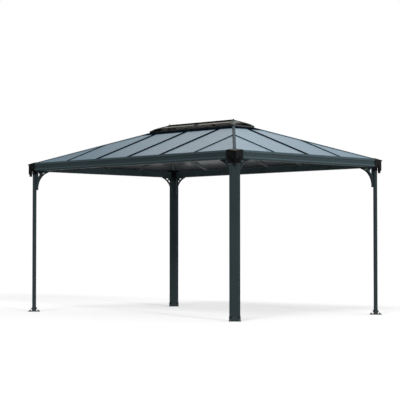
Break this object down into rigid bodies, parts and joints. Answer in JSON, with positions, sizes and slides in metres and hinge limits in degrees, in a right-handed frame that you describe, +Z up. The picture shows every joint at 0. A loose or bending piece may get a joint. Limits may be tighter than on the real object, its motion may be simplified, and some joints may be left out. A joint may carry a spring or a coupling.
{
  "type": "metal gazebo",
  "caption": "Open rectangular gazebo with flat posts turned on the diagonal, arched brackets, gutter beams and a hipped panel roof with a raised vent cap.",
  "frame": {"origin": "on the ground at the middle of the plan", "axes": "+Z up, X along the long sides, the front looks along -Y"},
  "size_m": [4.2836, 2.9836, 2.7058],
  "materials": {
    "frame_metal": "anthracite powder coat, satin",
    "foot_metal": "anthracite powder coat, satin",
    "bar_metal": "dark powder coat, satin",
    "hip_metal": "grey powder coat, satin",
    "corner_plastic": "black moulded plastic, fine grain",
    "roof_panel": "grey twin-wall polycarbonate, semi-gloss",
    "cap_panel": "bronze polycarbonate, semi-gloss"
  },
  "bodies": {
    "root": {"front_left_post": "frame_metal", "front_left_foot": "foot_metal", "front_left_connector": "corner_plastic", "front_left_lid": "corner_plastic", "front_left_hip_rafter": "hip_metal", "front_left_long_bracket": "frame_metal", "front_left_short_bracket": "frame_metal", "front_right_post": "frame_metal", "front_right_foot": "foot_metal", "front_right_connector": "corner_plastic", "front_right_lid": "corner_plastic", "front_right_hip_rafter": "hip_metal", "front_right_long_bracket": "frame_metal", "front_right_short_bracket": "frame_metal", "back_left_post": "frame_metal", "back_left_foot": "foot_metal", "back_left_connector": "corner_plastic", "back_left_lid": "corner_plastic", "back_left_hip_rafter": "hip_metal", "back_left_long_bracket": "frame_metal", "back_left_short_bracket": "frame_metal", "back_right_post": "frame_metal", "back_right_foot": "foot_metal", "back_right_connector": "corner_plastic", "back_right_lid": "corner_plastic", "back_right_hip_rafter": "hip_metal", "back_right_long_bracket": "frame_metal", "back_right_short_bracket": "frame_metal", "front_gutter": "frame_metal", "front_roof_panels": "roof_panel", "front_glazing_bars": "bar_metal", "right_gutter": "frame_metal", "right_roof_panels": "roof_panel", "right_glazing_bars": "bar_metal", "back_gutter": "frame_metal", "back_roof_panels": "roof_panel", "back_glazing_bars": "bar_metal", "left_gutter": "frame_metal", "left_roof_panels": "roof_panel", "left_glazing_bars": "bar_metal", "vent_curb": "bar_metal", "vent_cap_panels": "cap_panel", "vent_cap_frame": "bar_metal", "vent_cap_stays": "corner_plastic"}
  },
  "joints": []
}
